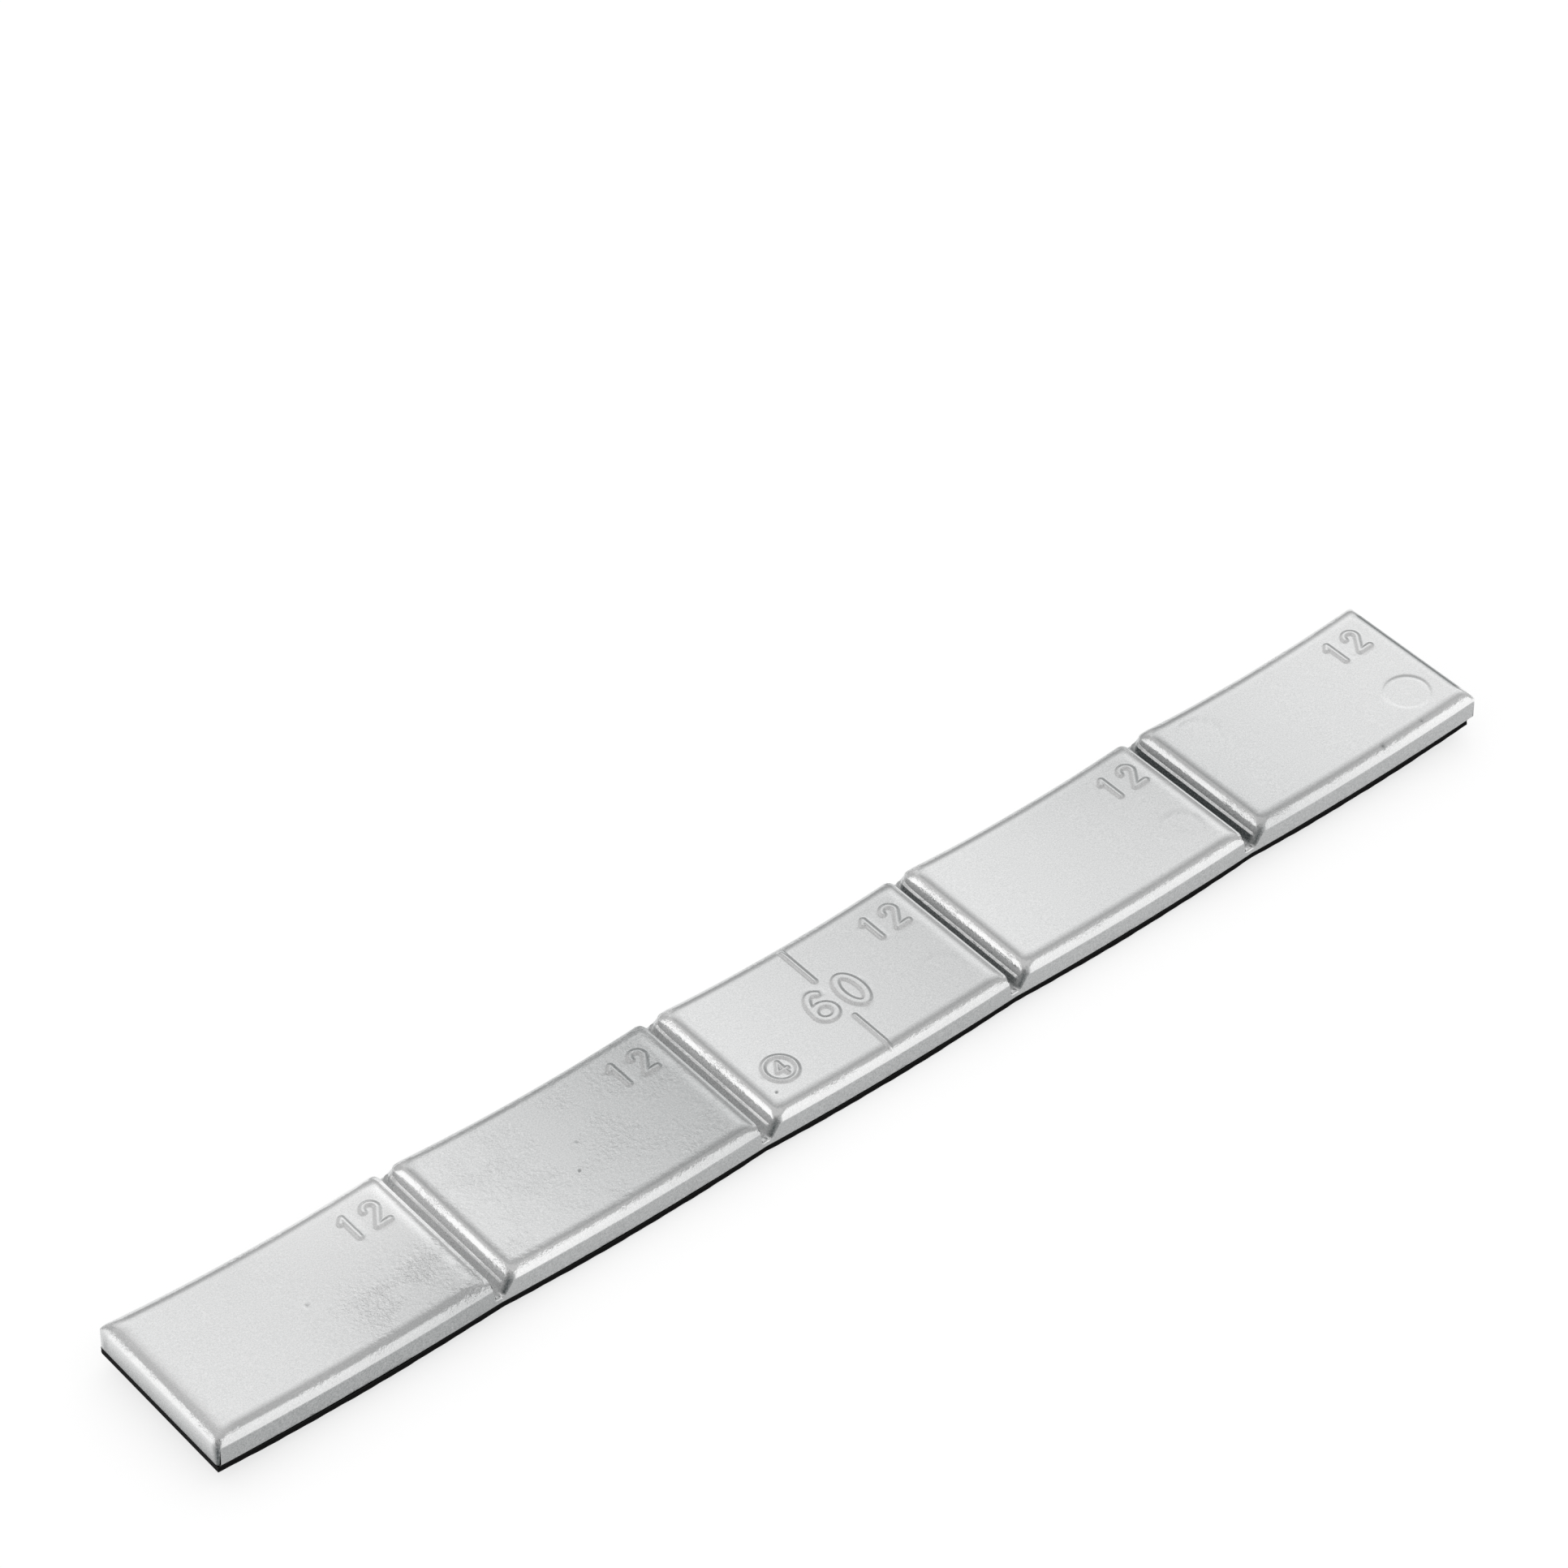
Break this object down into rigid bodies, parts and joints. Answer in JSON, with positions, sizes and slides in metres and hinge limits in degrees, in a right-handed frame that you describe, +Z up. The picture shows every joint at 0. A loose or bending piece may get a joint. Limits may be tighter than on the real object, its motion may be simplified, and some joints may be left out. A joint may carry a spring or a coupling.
{
  "type": "wheel balance weight",
  "caption": "Stick-on wheel balance weight: a row of curved silver-coated zinc segments, joined by thin webs at break grooves, on a strip of black foam adhesive tape.",
  "frame": {"origin": "under the middle of the row, at the lowest point of the tape", "axes": "+X along the row in the reading direction of its numbers, +Y across it to the back, +Z up out of the cast top"},
  "size_m": [0.155, 0.018, 0.0058],
  "materials": {
    "silver_coat": "glossy silver coat over a die casting",
    "foam_tape": "matte black foam"
  },
  "bodies": {
    "root": {"cast_weight_strip": "silver_coat", "adhesive_tape": "foam_tape"}
  },
  "joints": []
}
